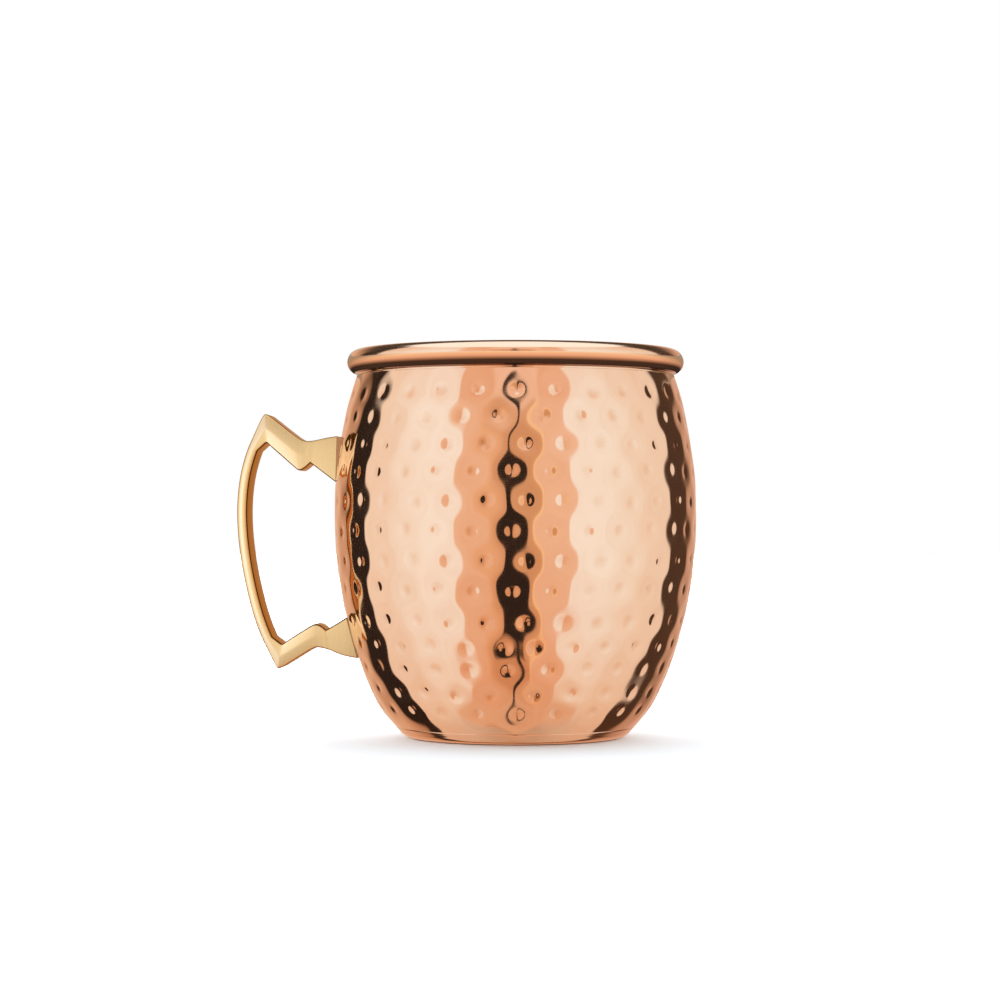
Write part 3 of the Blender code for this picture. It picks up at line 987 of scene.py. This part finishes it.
def glow_material(name, paint):
    """A card's material. paint(nodes) returns its colour and how solid it is."""
    look = bpy.data.materials.new(name)
    look.use_nodes = True
    n = Nodes(look.node_tree)
    look.node_tree.nodes.clear()
    colour, solid = paint(n)
    glow = n.add("ShaderNodeEmission")
    n.feed(glow.inputs["Color"], colour)
    clear = n.add("ShaderNodeBsdfTransparent")
    both = n.add("ShaderNodeMixShader")
    n.feed(both.inputs[0], solid)
    n.link(clear.outputs[0], both.inputs[1])
    n.link(glow.outputs[0], both.inputs[2])
    out = n.add("ShaderNodeOutputMaterial")
    n.link(both.outputs[0], out.inputs["Surface"])
    return look


def reflected_only(card):
    """Hide a card from everything but mirrors."""
    card.visible_camera = False
    card.visible_diffuse = False
    card.visible_shadow = False
    card.visible_transmission = False


def one_sided_card(name, bm, paint, front=True):
    """A card from a bmesh in millimetres that only shows one of its faces."""
    bmesh.ops.scale(bm, vec=(MM, MM, MM), verts=bm.verts)
    mesh = bpy.data.meshes.new(name)
    bm.to_mesh(mesh)
    bm.free()

    def paint_one_side(n):
        back = n.add("ShaderNodeNewGeometry").outputs["Backfacing"]
        return paint(n), n.math('SUBTRACT', 1.0, back) if front else back

    mesh.materials.append(glow_material(name, paint_one_side))
    reflected_only(add_object(name, mesh))


def make_handle_softbox():
    """A soft box in front of the handle, brighter on its left and half way up.

    Only the face towards the handle shows.
    """
    towards, right = camera_axes()
    bm = bmesh.new()
    corners = [(SOFTBOX_LEFT, SOFTBOX_LOW), (SOFTBOX_RIGHT, SOFTBOX_LOW),
               (SOFTBOX_RIGHT, SOFTBOX_TOP), (SOFTBOX_LEFT, SOFTBOX_TOP)]
    spots = [towards * SOFTBOX_AHEAD + right * x + Vector((0, 0, z)) for x, z in corners]
    bm.faces.new([bm.verts.new(spot) for spot in spots])

    def paint(n):
        place = n.add("ShaderNodeTexCoord").outputs["Object"]
        across = n.map_range(n.dot(place, right), -78.0 * MM, -48.0 * MM, 0.0, 1.0)
        sideways = n.ramp(across, [
            (0.0, (1.30, 1.48, 2.05)), (0.40, (1.04, 1.05, 1.10)), (1.0, (0.86, 0.86, 0.86)),
        ])
        height = n.map_range(n.dot(place, UP), 0.0, SOFTBOX_TOP * MM, 0.0, 1.0)
        upwards = n.grey_ramp(height, [(0.08, 0.72), (0.30, 1.0), (0.74, 1.0), (0.92, 0.62)])
        return n.mix(1.0, sideways, upwards, 'MULTIPLY')

    one_sided_card("handle_softbox", bm, paint, front=False)


def make_rim_reflector():
    """A warm funnel round the mug under its rim, that only its inner face shows; its dark throat is painted
    shade for the underside of the rolled rim.
    """
    sides = 96
    bm = bmesh.new()
    rings = []
    for r, z in FUNNEL:
        rings.append([bm.verts.new((r * math.cos(a), r * math.sin(a), z))
                      for a in np.linspace(0, 2 * math.pi, sides, endpoint=False)])
    for lower, upper in zip(rings, rings[1:]):
        for i in range(sides):
            k = (i + 1) % sides
            bm.faces.new([lower[i], upper[i], upper[k], lower[k]])

    towards, right = camera_axes()

    def paint(n):
        place = n.add("ShaderNodeTexCoord").outputs["Object"]
        from_axis = n.length(n.scaled(place, FLAT))
        out = n.map_range(from_axis, 40.0 * MM, 100.0 * MM, 0.0, 1.0)
        # The dark colour at the throat is painted shade under the rim's roll.
        colour = n.ramp(out, [
            (0.0, THROAT_SHADE), (0.060, THROAT_SHADE), (0.08, (0.48, 0.26, 0.16)), (0.11, (0.88, 0.52, 0.36)),
            (0.22, (1.0, 0.68, 0.44)), (0.41, (1.0, 0.76, 0.56)), (1.0, (1.0, 0.86, 0.72)),
        ])
        ahead = n.math('DIVIDE', n.dot(place, towards), from_axis)
        shade = n.ramp(n.map_range(ahead, -0.5, 0.5, 0.0, 1.0), [
            (0.0, (0.40, 0.36, 0.33)), (0.35, (0.48, 0.44, 0.40)), (1.0, WHITE),
        ])
        return n.mix(1.0, colour, shade, 'MULTIPLY')

    one_sided_card("rim_reflector", bm, paint)


def make_contact_card():
    """A dark disc under the foot, seen only in reflections: painted shadow for the crack between the base's
    turned edge and the table.
    """
    bm = bmesh.new()
    bmesh.ops.create_circle(bm, cap_ends=True, segments=96, radius=CONTACT_R)
    look = glow_material("contact_card", lambda n: ((*CONTACT_SHADOW, 1.0), 1.0))
    card = from_bmesh("contact_card", bm, [look])
    card.location.z = -CONTACT_DROP * MM
    reflected_only(card)


# ---------------------------------------------------------------- the scene


def stand_in(piece, node):
    """Show a piece in place of a CAD node."""
    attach(piece, "root")
    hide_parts(node)


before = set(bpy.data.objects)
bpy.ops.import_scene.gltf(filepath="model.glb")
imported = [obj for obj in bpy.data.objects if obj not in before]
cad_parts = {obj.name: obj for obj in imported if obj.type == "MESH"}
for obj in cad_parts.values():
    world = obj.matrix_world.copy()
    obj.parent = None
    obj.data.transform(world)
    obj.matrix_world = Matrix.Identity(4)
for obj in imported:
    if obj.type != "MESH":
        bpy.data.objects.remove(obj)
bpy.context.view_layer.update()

copper = polished_copper()
rim = rim_copper()
inside = inner_copper()
base = base_copper()
brass = brushed_brass()
bright_brass = polished_brass()
shade_brass = painted_shade_brass()
alloy = solder_alloy()

stand_in(make_wall(copper, rim, inside), "body_wall")
stand_in(make_base(base), "base_pan")
stand_in(make_base_fillet(alloy), "base_solder_ring")
stand_in(make_handle([brass, bright_brass, shade_brass]), "handle")
stand_in(make_foot_solder("upper_foot_braze", alloy, UPPER_FOOT_FACE), "upper_foot_solder")
stand_in(make_foot_solder("lower_foot_braze", alloy, LOWER_FOOT_FACE), "lower_foot_solder")
stand_in(make_rivet("upper_rivet_domed", UPPER_RIVET_Z, inside), "upper_rivet")
stand_in(make_rivet("lower_rivet_domed", LOWER_RIVET_Z, inside), "lower_rivet")

make_floor()
make_handle_softbox()
make_rim_reflector()
make_contact_card()
make_world()
make_camera()
bpy.context.scene.view_settings.view_transform = 'Standard'
